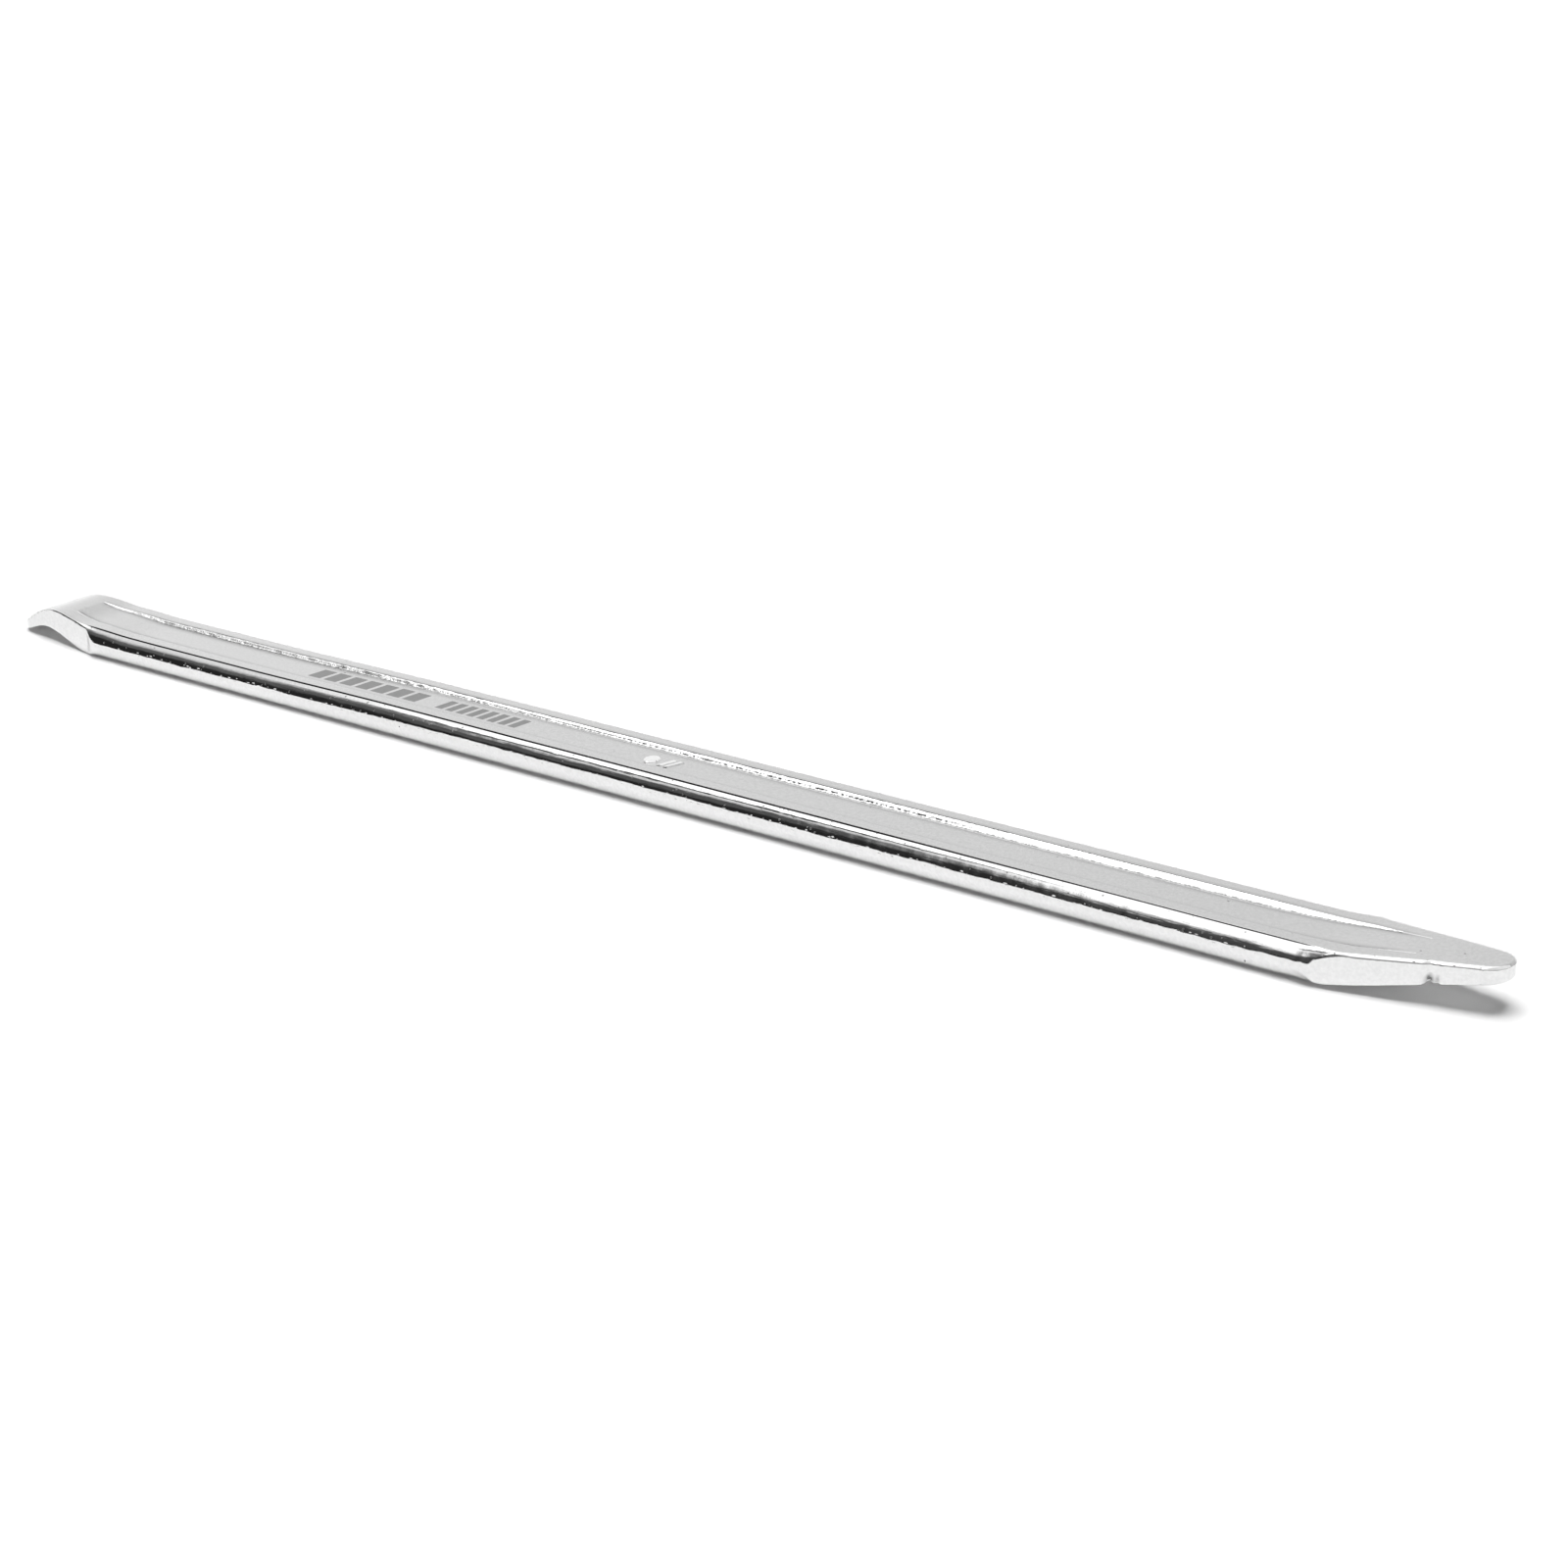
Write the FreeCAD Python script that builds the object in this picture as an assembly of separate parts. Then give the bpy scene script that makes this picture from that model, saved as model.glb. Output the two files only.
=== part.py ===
"""Forged tyre lever, 12 in class, one solid steel forging.

Millimetres. The lever lies on its rest face: +X runs from the spoon end to the
flat tip, +Y across, +Z up. The origin is the middle of the length, on the rest face.
"""

import FreeCAD
import Part
import math
import os

V = FreeCAD.Vector

# Overall
length = 305.0
width = 17.4            # across the parting line, the widest place of the shank
thickness = 5.75        # rest face to rim tops

# Shank section
rim_outer_half = 6.9    # outer edge of the flat rims
parting_height = 3.45   # height of the die parting line
bevel_bulge = 0.34      # how far the upper flank stands out of its chord
draft_foot_half = 8.35  # half width where the lower flank turns under
foot_radius = 1.0
crown_rise = 3.0        # the flank runs on this far above the rim before it is cut

# Recess along the top face
recess_half = 4.65      # at the rim tops
recess_floor_half = 3.75
recess_depth = 0.8
recess_start = 15.0     # distances from the spoon end
recess_full_from = 27.0
recess_full_to = 264.0
recess_end = 290.0
start_height = 6.75     # the recess floor starts clear of the top here
end_height = 6.4        # and runs out through the rising tip here
tool_height = 3.0       # the recess cut stands this far above its floor

# Plan outline
spoon_radius = 4.9      # round end of the spoon
spoon_root = 23.0       # where the spoon's trimmed sides leave the shank
spoon_root_half = 7.45
tip_radius = 3.6        # round end of the flat tip
tip_root = 279.0        # where the tip's trimmed sides leave the shank
tip_root_half = 8.35
spoon_blend = 3.4       # lengths over which the trimmed sides swing out past the width
tip_blend = 1.6

# Side view, distance from the spoon end and height
spoon_top = [(0.3, 1.6), (2.9, 2.65), (5.6, 4.15), (8.4, 5.55), (11.0, 6.4),
             (13.7, 6.68), (17.0, 6.4), (21.0, 5.9), (26.0, 5.75)]
spoon_under = [(1.1, 0.55), (3.9, 0.95), (7.0, 2.05), (10.4, 2.57),
               (14.0, 2.05), (18.0, 1.0), (21.5, 0.25), (25.0, 0.0)]
tip_top = [(276.0, 5.75), (284.5, 6.1), (294.0, 6.9), (305.0, 7.75)]
tip_under = [(271.0, 0.0), (278.5, 0.42), (284.7, 1.3), (293.0, 3.0), (305.0, 5.3)]
rise_from = 276.0       # the flanks start to climb with the tip here
rise_angle = 2.6        # degrees

# Rounded edges
bead_radius = 0.6       # polished edge round the flat tip
bead_run = 20.0         # length of the tip whose top edge is rounded
spoon_edge_radius = 0.35

# Forging mark on the recess floor
mark_from = 156.0
mark_side = -1.5
mark_height = 0.25
disc_radius = 1.5
bar_width = 0.6
bar_pitch = 1.3

half = width / 2.0
mid = length / 2.0


def at(dist, z):
    """Point of the side view at a distance from the spoon end."""
    return V(dist - mid, 0, z)


def spline(points, start, end):
    """Smooth curve through the side view points with its end directions."""
    curve = Part.BSplineCurve()
    places = [at(*p) for p in points]
    curve.interpolate(places, InitialTangent=V(*start), FinalTangent=V(*end))
    return curve.toShape()


def side_view():
    """The whole side outline pushed through the full width."""
    level = (1, 0, 0)
    top_l = spline(spoon_top, (0.9, 0, 0.4), level)
    top_r = spline(tip_top, level, (1, 0, 0.077))
    low_l = spline(spoon_under, (1, 0, 0.05), level)
    low_r = spline(tip_under, level, (1, 0, 0.19))
    nose = Part.Arc(at(*spoon_top[0]), at(0.0, 0.95), at(*spoon_under[0])).toShape()
    edges = [
        nose,
        top_l,
        Part.makeLine(at(*spoon_top[-1]), at(*tip_top[0])),
        top_r,
        Part.makeLine(at(*tip_top[-1]), at(*tip_under[-1])),
        low_r,
        Part.makeLine(at(*tip_under[0]), at(*spoon_under[-1])),
        low_l,
    ]
    wire = Part.Wire(Part.__sortEdges__(edges))
    face = Part.Face(wire)
    face.translate(V(0, -half - 2, 0))
    return face.extrude(V(0, width + 4, 0))


def tangent_point(centre, radius, corner, sign):
    """Where a line from the corner touches the end circle, upper side."""
    dx = corner.x - centre.x
    dy = corner.y
    dist = math.hypot(dx, dy)
    base = math.atan2(dy, dx)
    swing = math.acos(radius / dist)
    angle = base + sign * swing
    return V(centre.x + radius * math.cos(angle), radius * math.sin(angle), 0)


def mirrored(p):
    return V(p.x, -p.y, 0)


def plan_view():
    """Outline seen from above, pushed through the full height."""
    c_spoon = V(spoon_radius - mid, 0, 0)
    c_tip = V(mid - tip_radius, 0, 0)
    s_root = V(spoon_root - mid, spoon_root_half, 0)
    t_root = V(tip_root - mid, tip_root_half, 0)
    s_wide = V(s_root.x + spoon_blend, half + 0.5, 0)
    t_wide = V(t_root.x - tip_blend, half + 0.5, 0)
    s_tan = tangent_point(c_spoon, spoon_radius, s_root, 1)
    t_tan = tangent_point(c_tip, tip_radius, t_root, -1)
    upper = [s_tan, s_root, s_wide, t_wide, t_root, t_tan]
    lower = [mirrored(p) for p in reversed(upper)]
    edges = [Part.makeLine(a, b) for a, b in zip(upper, upper[1:])]
    edges += [Part.makeLine(a, b) for a, b in zip(lower, lower[1:])]
    edges.append(Part.Arc(t_tan, V(mid, 0, 0), mirrored(t_tan)).toShape())
    edges.append(Part.Arc(mirrored(s_tan), V(-mid, 0, 0), s_tan).toShape())
    face = Part.Face(Part.Wire(Part.__sortEdges__(edges)))
    return face.extrude(V(0, 0, 12))


def flank_section(x):
    """Half round flanks, drafted foot and flat bottom; runs on above the rims."""
    chord = V(0, half - rim_outer_half, parting_height - thickness)
    across = V(0, -chord.z, chord.y).normalize()
    rim = V(x, rim_outer_half, thickness)
    part = V(x, half, parting_height)
    belly = (rim + part) * 0.5 + across * bevel_bulge
    bevel = Part.Arc(rim, belly, part)
    lead = bevel.tangent(bevel.FirstParameter)[0]
    crown = rim + lead * (crown_rise / lead.z)
    knee = V(x, draft_foot_half, foot_radius)
    toe = V(x, draft_foot_half - foot_radius, 0)
    turn = foot_radius * (1 - math.sqrt(0.5))
    under = V(x, draft_foot_half - turn, turn)
    right = [
        Part.makeLine(crown, rim),
        bevel.toShape(),
        Part.makeLine(part, knee),
        Part.Arc(knee, under, toe).toShape(),
    ]
    left = [e.mirror(V(0, 0, 0), V(0, 1, 0)) for e in right]
    joins = [
        Part.makeLine(toe, V(x, -toe.y, 0)),
        Part.makeLine(crown, V(x, -crown.y, crown.z)),
    ]
    return Part.Wire(Part.__sortEdges__(right + left + joins))


def sheared(wire, start, end, rise):
    """The section carried straight along X while it climbs by rise."""
    face = Part.Face(wire)
    return face.extrude(V(end - start, 0, rise))


def flanks():
    climb = math.tan(math.radians(rise_angle))
    bend = rise_from - mid
    shank = sheared(flank_section(-mid - 1), -mid - 1, bend, 0)
    tip_run = mid + 1 - bend
    tip = sheared(flank_section(bend), bend, bend + tip_run, climb * tip_run)
    return shank.fuse(tip)


def recess_station(dist, floor_z):
    """Trapezium cut across the top at one distance from the spoon end."""
    slope = (recess_half - recess_floor_half) / recess_depth
    top_z = floor_z + tool_height
    reach = recess_floor_half + slope * tool_height
    pts = [
        at(dist, floor_z) + V(0, recess_floor_half, 0),
        at(dist, top_z) + V(0, reach, 0),
        at(dist, top_z) + V(0, -reach, 0),
        at(dist, floor_z) + V(0, -recess_floor_half, 0),
    ]
    return Part.makePolygon(pts + [pts[0]])


def recess():
    floor = thickness - recess_depth
    start = recess_station(recess_start, start_height)
    full_a = recess_station(recess_full_from, floor)
    full_b = recess_station(recess_full_to, floor)
    end = recess_station(recess_end, end_height)
    runs = [(start, full_a), (full_a, full_b), (full_b, end)]
    tool = Part.makeLoft(list(runs[0]), True, True)
    for pair in runs[1:]:
        tool = tool.fuse(Part.makeLoft(list(pair), True, True))
    return tool


def forging_mark():
    """Small raised disc and two bars that the die leaves on the recess floor."""
    sunk = 0.2
    tall = mark_height + sunk
    base = at(mark_from, thickness - recess_depth - sunk) + V(0, mark_side, 0)
    mark = Part.makeCylinder(disc_radius, tall, base)
    for n in (1, 2):
        corner = base + V(disc_radius + n * bar_pitch - bar_width, -disc_radius, 0)
        mark = mark.fuse(Part.makeBox(bar_width, 2 * disc_radius, tall, corner))
    return mark


def top_edges(body, x_min, x_max, z_min):
    """Edges round the top of one end, between two stations along the lever."""
    picked = []
    for edge in body.Edges:
        box = edge.BoundBox
        inside = box.XMin > x_min and box.XMax < x_max and box.ZMin > z_min
        if inside and box.XLength > 0.5:
            picked.append(edge)
    return picked


def with_rounded_ends(body):
    """Bead round the flat tip and a light break round the spoon."""
    bead_from = mid - bead_run
    body = body.makeFillet(bead_radius, top_edges(body, bead_from, mid + 1, 6.1))
    spoon_to = spoon_root - mid + 0.1
    spoon = top_edges(body, -mid - 1, spoon_to, 1.5)
    return body.makeFillet(spoon_edge_radius, spoon)


def forged_lever():
    body = flanks().common(side_view()).common(plan_view())
    body = with_rounded_ends(body)
    body = body.cut(recess())
    return body.fuse(forging_mark()).removeSplitter()


os.makedirs("parts", exist_ok=True)
forged_lever().exportStep("parts/forged_lever.step")
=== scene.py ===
"""Forged, chrome plated tyre lever lying on a white studio table.

Lengths in the lever's own drawing are millimetres, measured from the spoon end
(along), from the centre line (across) and from the rest face (up).
"""
import math

import bmesh
import bpy
import numpy as np
from mathutils import Matrix, Vector


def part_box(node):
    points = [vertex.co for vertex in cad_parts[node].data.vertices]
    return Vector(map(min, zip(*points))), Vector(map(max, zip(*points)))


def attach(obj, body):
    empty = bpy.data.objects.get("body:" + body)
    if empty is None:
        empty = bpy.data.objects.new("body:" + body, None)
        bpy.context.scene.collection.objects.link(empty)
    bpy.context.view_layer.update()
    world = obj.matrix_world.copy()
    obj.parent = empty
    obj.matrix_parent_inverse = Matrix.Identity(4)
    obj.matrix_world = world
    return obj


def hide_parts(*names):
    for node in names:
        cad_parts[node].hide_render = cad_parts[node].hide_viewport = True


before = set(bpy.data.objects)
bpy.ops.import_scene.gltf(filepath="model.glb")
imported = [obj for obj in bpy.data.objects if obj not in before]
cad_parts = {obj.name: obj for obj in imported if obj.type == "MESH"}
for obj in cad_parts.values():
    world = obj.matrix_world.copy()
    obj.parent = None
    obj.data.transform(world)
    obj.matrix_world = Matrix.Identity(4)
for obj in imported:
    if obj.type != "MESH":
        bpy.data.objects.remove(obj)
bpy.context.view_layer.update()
MM = 0.001
low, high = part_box("forged_lever")
LENGTH = (high[0] - low[0]) / MM
HALF_WIDTH = high[1] / MM
MIDDLE = LENGTH / 2

# Shank section
THICKNESS = 5.75
RIM_OUTER = 6.9
RIM_STEP = 0.26
STEP_RUN = 0.11
BEVEL_LEAD = 0.68
PARTING_DROP = [(15, 2.3), (60, 2.31), (90, 2.09), (118, 1.77), (150, 1.84), (180, 1.97), (212, 2.09),
                (265, 2.14), (285, 2.0)]
NECK_DIP = 0.32
LAND_FOOT = 2.5
FOOT_HALF = 8.35
FOOT_RADIUS = 1.8
EDGE_ROUND = 0.15
RIM_SWING_OUT = 0.35
# Parting edge: how far it keeps inside the outline, and the most that flash stands out of it
SHANK_INSET = 0.08
FLASH_OUT = 0.05
JUST_INSIDE = 0.999
# Broken top edge: on the shank, and how much wider and taller it is round the two ends
EDGE_WIDE = 0.08
SPOON_WIDER = 0.08
TIP_WIDER = 0.5
EDGE_TALL = 0.1
SPOON_TALLER = 0.24
TIP_TALLER = 0.2

# Recess in the top face
RECESS_HALF = 4.5
RECESS_PINCH = 0.12
RECESS_WALL = 0.72
WALL_GAIN = 0.3
WALL_LEAST = 0.25
RECESS_DEPTH = 0.72
DEPTH_GAIN = 0.2
RECESS_START = 16.5
RECESS_RUN = 11.0
FILLET_RUN = 1.8
FILLET_RISE = 0.08
LIP_RUN = 0.07
LIP_DROP = 0.18
SIDE_ROOM = 0.6
# Rows up the wall as shares of its run; the dotted line is on the third
WALL_ROWS = (0.0, 0.14, 0.36, 0.64, 0.86, 1.0)
DOTTED_ROW = 2
WALL_FOOT_RISE = 0.2
WALL_RISE = 0.62
# Die chatter on the wall: lean to the hollow side, and how much it calms along the dots and at the tip
CHATTER_BIAS = 0.1
CALM_AT_DOTS = 0.5
CALM_AT_TIP = 0.9

# Spacing of the stations: close at the ends, wider on the shank
END_STEP = 0.25
SHANK_STEP = 0.56
SHANK_STEPS_FROM = 30.0
SHANK_STEPS_TO = 274.0

# Stretches along the lever over which something fades in or out
SPOON_END = (19.0, 25.0)
SHANK_FROM = (21.0, 27.0)
SHANK_TO = (275.0, 281.0)
NECK_FROM = (24.0, 36.0)
NECK_TO = (62.0, 104.0)
DEEPENING = (100.0, 240.0)
RECESS_END = (264.0, 293.0)
RIM_SWING = (276.0, 283.0)
TIP_BEAD = (278.5, 284.5)
FROST_FROM = (26.0, 34.0)
FROST_TO = (70.0, 112.0)
DOTS_FROM = (90.0, 112.0)
DOTS_TO = (205.0, 225.0)
CHATTER_CALMS = (205.0, 240.0)
EDGE_SHADE_FADES = (200.0, 260.0)

# Wavers along the lever: number of its seed, wave lengths and size
WAVERS = {"flash": (0, (0.9, 2.3, 6.1, 13.0), 0.09),
          "rim": (1, (7.0, 19.0), 0.05),
          "recess": (2, (3.0, 11.0), 0.03),
          "chatter": (3, (0.43, 0.9), 0.3),
          "strokes": (4, (0.56, 0.9), 1.6),
          "parting line": (6, (1.1, 3.7), 0.1)}
FAR_SEED = 11
NEAR_SEED = 41

# Darkening of the plate, as the share of its brightness that is lost: painted shade in the corner where the
# recess floor meets its wall and along the top of the far wall, and a painted dark reflection line along the
# outer rim edge; the strokes, dots and nicks are darker marks in the plate
FROST_CORNER_SHADE = 0.14
FILLET_SHADE = 0.5
STROKE_STAIN = 0.3
STROKE_BASE = 0.3
DOT_STAIN = 0.75
LIP_SHADE = 0.25
EDGE_SHADE = 0.55
EDGE_SHADE_FADE = 0.25
NICK_STAIN = 0.9

# Forging mark on the recess floor
MARK_FROM = 155.6
MARK_SIDE = -0.6
MARK_RADIUS = 1.7
MARK_HEIGHT = 0.22
MARK_SUNK = 0.07
MARK_SLOPE = 0.16
BAR_GAP = 0.6
BAR_PITCH = 1.35
BAR_WIDE = 0.7
BAR_LEAN = 1.2

# Nicks knocked in the lower edge of the tip: place, half length, share of the full depth
NICKS = ((294.8, 0.55, 1.0), (295.9, 0.3, 0.5))
NICK_IN = 0.22
NICK_UP = 0.75

# Plan outline
SPOON_RADIUS = 4.9
SPOON_ROOT = 23.5
SPOON_TAPER = math.radians(7.87)
SPOON_SWING = 0.45
TIP_RADIUS = 3.6
TIP_ROOT = LENGTH - 26.0
TIP_TAPER = math.radians(11.8)
TIP_SWING = 1.0
ROOT_ROUND = 0.5

# Side view: distance from the spoon end, height
SPOON_TOP = [(0.0, 1.45), (2.9, 2.65), (5.6, 4.15), (8.4, 5.55), (11.0, 6.4),
             (13.7, 6.66), (17.0, 6.4), (21.0, 5.9), (26.0, THICKNESS)]
SPOON_UNDER = [(0.0, 0.5), (3.9, 0.95), (7.0, 2.05), (10.4, 2.57),
               (14.0, 2.05), (18.0, 1.0), (21.5, 0.25), (25.0, 0.0)]
TIP_TOP = [(276.0, THICKNESS), (284.5, 6.1), (294.0, 6.9), (LENGTH, 7.7)]
TIP_UNDER = [(271.0, 0.0), (278.5, 0.42), (284.7, 1.3), (293.0, 3.0), (LENGTH, 5.3)]

# Finish of each stretch of the section, read by the plating
SATIN = 0.0
DIE_WALL = 1.0
# not a finish of its own: the outer rim edge that carries a painted dark reflection line
SHADED_EDGE = 2.5
BEVEL = 3.0
TRIMMED = 4.0
LOWER_FLANK = 5.0
UNDERSIDE = 6.0

# Plating
BRIGHT_TONE = 0.8
SATIN_TONE = 0.655
# painted highlight: the recess walls, their die marks and the raised forging mark get a brighter plate than
# the rest
WALL_SHEEN_TONE = 1.18
ETCH_TONE = 0.42
PIT_TONE = 0.45
BRIGHT_ROUGH = 0.045
SATIN_ROUGH = 0.17
GRAIN_HEIGHT = 0.000012
FINE_PITS = {"Spacing": 1300.0, "Share": 0.16, "Size": 0.3}
# Etched blocks: from and to along the lever, pitch of the bars, share of the pitch that a bar fills
ETCHED_BLOCKS = ((77.5, 104.5, 3.86, 0.78), (108.5, 127.5, 2.4, 0.68))
ETCHED_HALF = 2.1
ETCHED_SLANT = 0.12


def smooth_curve(points, start, end):
    """Clamped cubic spline through the points, as a function of the distance."""
    x, y = np.array(points).T
    h = np.diff(x)
    n = len(x)
    lhs = np.zeros((n, n))
    rhs = np.zeros(n)
    lhs[0, :2] = 2 * h[0], h[0]
    rhs[0] = 6 * ((y[1] - y[0]) / h[0] - start)
    lhs[-1, -2:] = h[-1], 2 * h[-1]
    rhs[-1] = 6 * (end - (y[-1] - y[-2]) / h[-1])
    for i in range(1, n - 1):
        lhs[i, i - 1:i + 2] = h[i - 1], 2 * (h[i - 1] + h[i]), h[i]
        rhs[i] = 6 * ((y[i + 1] - y[i]) / h[i] - (y[i] - y[i - 1]) / h[i - 1])
    bend = np.linalg.solve(lhs, rhs)

    def at(d):
        i = np.clip(np.searchsorted(x, d) - 1, 0, n - 2)
        a, b = x[i + 1] - d, d - x[i]
        return ((bend[i] * a ** 3 + bend[i + 1] * b ** 3) / (6 * h[i])
                + (y[i] / h[i] - bend[i] * h[i] / 6) * a
                + (y[i + 1] / h[i] - bend[i + 1] * h[i] / 6) * b)
    return at


def joined(left, left_end, middle, right, right_from):
    """One height along the whole lever: left curve, level shank, right curve."""
    def at(d):
        level = np.full_like(d, middle)
        level = np.where(d < left_end, left(np.minimum(d, left_end)), level)
        return np.where(d > right_from, right(np.maximum(d, right_from)), level)
    return at


spoon_top = smooth_curve(SPOON_TOP, 0.4, 0.0)
spoon_under = smooth_curve(SPOON_UNDER, 0.05, 0.0)
tip_top = smooth_curve(TIP_TOP, 0.0, 0.075)
tip_under = smooth_curve(TIP_UNDER, 0.0, 0.19)
top_height = joined(spoon_top, SPOON_TOP[-1][0], THICKNESS, tip_top, TIP_TOP[0][0])
under_height = joined(spoon_under, SPOON_UNDER[-1][0], 0.0, tip_under, TIP_UNDER[0][0])


def soft_min(a, b, k):
    """Smaller of two values, with the corner between them rounded over k."""
    mix = np.clip(0.5 + 0.5 * (b - a) / k, 0.0, 1.0)
    return b + (a - b) * mix - k * mix * (1 - mix)


def end_outline(d, radius, taper, root, swing):
    """Half width near an end whose tip is at d = 0."""
    turn = radius * (1 - math.sin(taper))
    circle = np.sqrt(np.maximum(radius ** 2 - (radius - d) ** 2, 0.0))
    line = radius / math.cos(taper) + (d - radius) * math.tan(taper)
    flare = np.maximum(d - root, 0.0) * (swing - math.tan(taper))
    return np.where(d < turn, circle, line + flare)


def half_width(d):
    """Half the width of the plan outline at every distance."""
    spoon = end_outline(d, SPOON_RADIUS, SPOON_TAPER, SPOON_ROOT, SPOON_SWING)
    tip = end_outline(LENGTH - d, TIP_RADIUS, TIP_TAPER, LENGTH - TIP_ROOT, TIP_SWING)
    ends = np.minimum(spoon, tip)
    return np.minimum(soft_min(ends, np.full_like(d, HALF_WIDTH), ROOT_ROUND), HALF_WIDTH)


def edge_distance(d, y, w):
    """How far a point of the plan lies inside the outline."""
    inside = w - y
    for centre, radius, beyond in ((SPOON_RADIUS, SPOON_RADIUS, d < SPOON_RADIUS),
                                   (LENGTH - TIP_RADIUS, TIP_RADIUS, d > LENGTH - TIP_RADIUS)):
        radial = radius - np.hypot(d - centre, y)
        inside = np.where(beyond, np.minimum(inside, radial), inside)
    return np.maximum(inside, 0.0)


def edge_break(inside, wide, tall):
    """Fall of the broken top edge this far inside the outline, steepest at the outline."""
    return tall * np.clip(1 - inside / wide, 0.0, 1.0) ** 2


def ramp(d, a, b):
    """0 before a, 1 past b and smooth in between."""
    t = np.clip((d - a) / (b - a), 0.0, 1.0)
    return t * t * (3 - 2 * t)


def between(d, rise, fall):
    """1 from the rise to the fall and 0 outside; each is a stretch along the lever."""
    return ramp(d, *rise) * (1 - ramp(d, *fall))


def wander(d, seed, steps, size):
    """Smooth seeded waver along the lever with several wavelengths in mm."""
    rng = np.random.RandomState(seed)
    total = np.zeros_like(d)
    for step in steps:
        knots = np.arange(-step, LENGTH + 2 * step, step)
        values = rng.uniform(-1, 1, len(knots))
        total += np.interp(d, knots, values)
    return size * total / len(steps)


def stations():
    """Distances along the lever, closer together round both ends."""
    round_end = 1 - np.cos(np.linspace(0.02, 1.0, 40) * math.pi / 2)
    spoon = SPOON_RADIUS * round_end
    tip = LENGTH - TIP_RADIUS * round_end
    spoon_run = np.arange(SPOON_RADIUS + END_STEP, SHANK_STEPS_FROM, END_STEP)
    shank = np.arange(SHANK_STEPS_FROM, SHANK_STEPS_TO, SHANK_STEP)
    tip_run = np.arange(SHANK_STEPS_TO, LENGTH - TIP_RADIUS - 0.1, END_STEP)
    return np.unique(np.concatenate([spoon, spoon_run, shank, tip_run, tip]))


class Side:
    """One side of the section at every station, row by row from the top centre to the bottom centre."""

    def __init__(self, d, seed, far):
        self.d = d
        self.seed = seed
        self.rows = []
        self.shank = between(d, SHANK_FROM, SHANK_TO)
        self.nick = np.zeros_like(d)
        if not far:
            for place, half, share in NICKS:
                self.nick += share * np.exp(-((d - place) / half) ** 2)
        flash = np.minimum(self.waver("flash") * self.shank, FLASH_OUT)
        self.wall = half_width(d) - SHANK_INSET * self.shank + flash - NICK_IN * self.nick
        self.rim = RIM_OUTER + self.waver("rim") * self.shank + RIM_SWING_OUT * ramp(d, *RIM_SWING)
        spoon = 1 - ramp(d, *SPOON_END)
        tip = ramp(d, *TIP_BEAD)
        self.edge_wide = EDGE_WIDE + SPOON_WIDER * spoon + TIP_WIDER * tip
        self.edge_tall = EDGE_TALL + SPOON_TALLER * spoon + TIP_TALLER * tip
        dip = NECK_DIP * between(d, NECK_FROM, NECK_TO)
        self.top = top_height(d) - dip
        self.parting_drop = np.interp(d, *np.array(PARTING_DROP).T) - dip + self.waver("parting line")
        self.under = under_height(d)
        self.shape_recess()
        self.frost = between(d, FROST_FROM, FROST_TO)
        self.dots = between(d, DOTS_FROM, DOTS_TO)
        self.strokes = np.clip(STROKE_BASE + self.waver("strokes"), 0.0, 1.0)
        calm = 1 - CALM_AT_DOTS * self.dots - CALM_AT_TIP * ramp(d, *CHATTER_CALMS)
        self.chatter = (self.waver("chatter") - CHATTER_BIAS) * calm
        # painted shade along the top of the far wall only
        self.lip_shade = LIP_SHADE if far else 0.0

    def waver(self, name):
        number, steps, size = WAVERS[name]
        return wander(self.d, self.seed + number, steps, size)

    def shape_recess(self):
        """Depth of the recess and where its wall stands at every station."""
        d = self.d
        entry = 1 - np.exp(-np.maximum(d - RECESS_START, 0.0) / RECESS_RUN)
        opened = entry * (1 - ramp(d, *RECESS_END))
        deeper = ramp(d, *DEEPENING)
        self.shown = np.clip(opened / 0.1, 0.0, 1.0)
        self.depth = (RECESS_DEPTH + DEPTH_GAIN * deeper) * opened
        self.wall_top = RECESS_HALF * (1 - RECESS_PINCH * (1 - opened)) + self.waver("recess")
        run = (RECESS_WALL + WALL_GAIN * deeper) * (WALL_LEAST + (1 - WALL_LEAST) * opened)
        self.wall_foot = self.wall_top - run
        self.room = np.minimum(1.0, self.wall / (RIM_OUTER + SIDE_ROOM))

    def upper(self, y):
        """Height of the top face, the bevel and the broken edge at this distance across."""
        past = np.clip((y - self.rim) / (HALF_WIDTH - self.rim), 0.0, 1.0)
        fall = BEVEL_LEAD * past + (self.parting_drop - BEVEL_LEAD) * past ** 2
        step = RIM_STEP * self.shank * np.clip((y - self.rim + STEP_RUN) / STEP_RUN, 0.0, 1.0)
        inside = edge_distance(self.d, y, self.wall)
        return self.top - fall - step - edge_break(inside, self.edge_wide, self.edge_tall)

    def lower(self, y):
        """Height of the rest face, its rounded foot and the lower flank."""
        turn = np.clip((y - FOOT_HALF + FOOT_RADIUS) / FOOT_RADIUS, 0.0, 1.0)
        foot = FOOT_RADIUS * (1 - np.sqrt(1 - turn * turn))
        out = np.clip((y - FOOT_HALF) / (HALF_WIDTH - FOOT_HALF), 0.0, 1.0)
        climb = out * (LAND_FOOT - FOOT_RADIUS)
        chipped = NICK_UP * self.nick * np.clip(y - self.wall + 1.0, 0.0, 1.0)
        inside = edge_distance(self.d, y, self.wall)
        lift = (foot + climb) * self.shank + chipped
        return self.under + lift + edge_break(inside, EDGE_ROUND, EDGE_ROUND)

    def put(self, y, z, finish, shade_and_stain=0.0):
        """Add one row of points; the wall's finish stops where the recess has run out."""
        gone = (self.shown <= 0.05) & (finish == DIE_WALL)
        self.rows.append((y, z, np.where(gone, SATIN, finish), np.full_like(self.d, shade_and_stain)))

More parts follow.
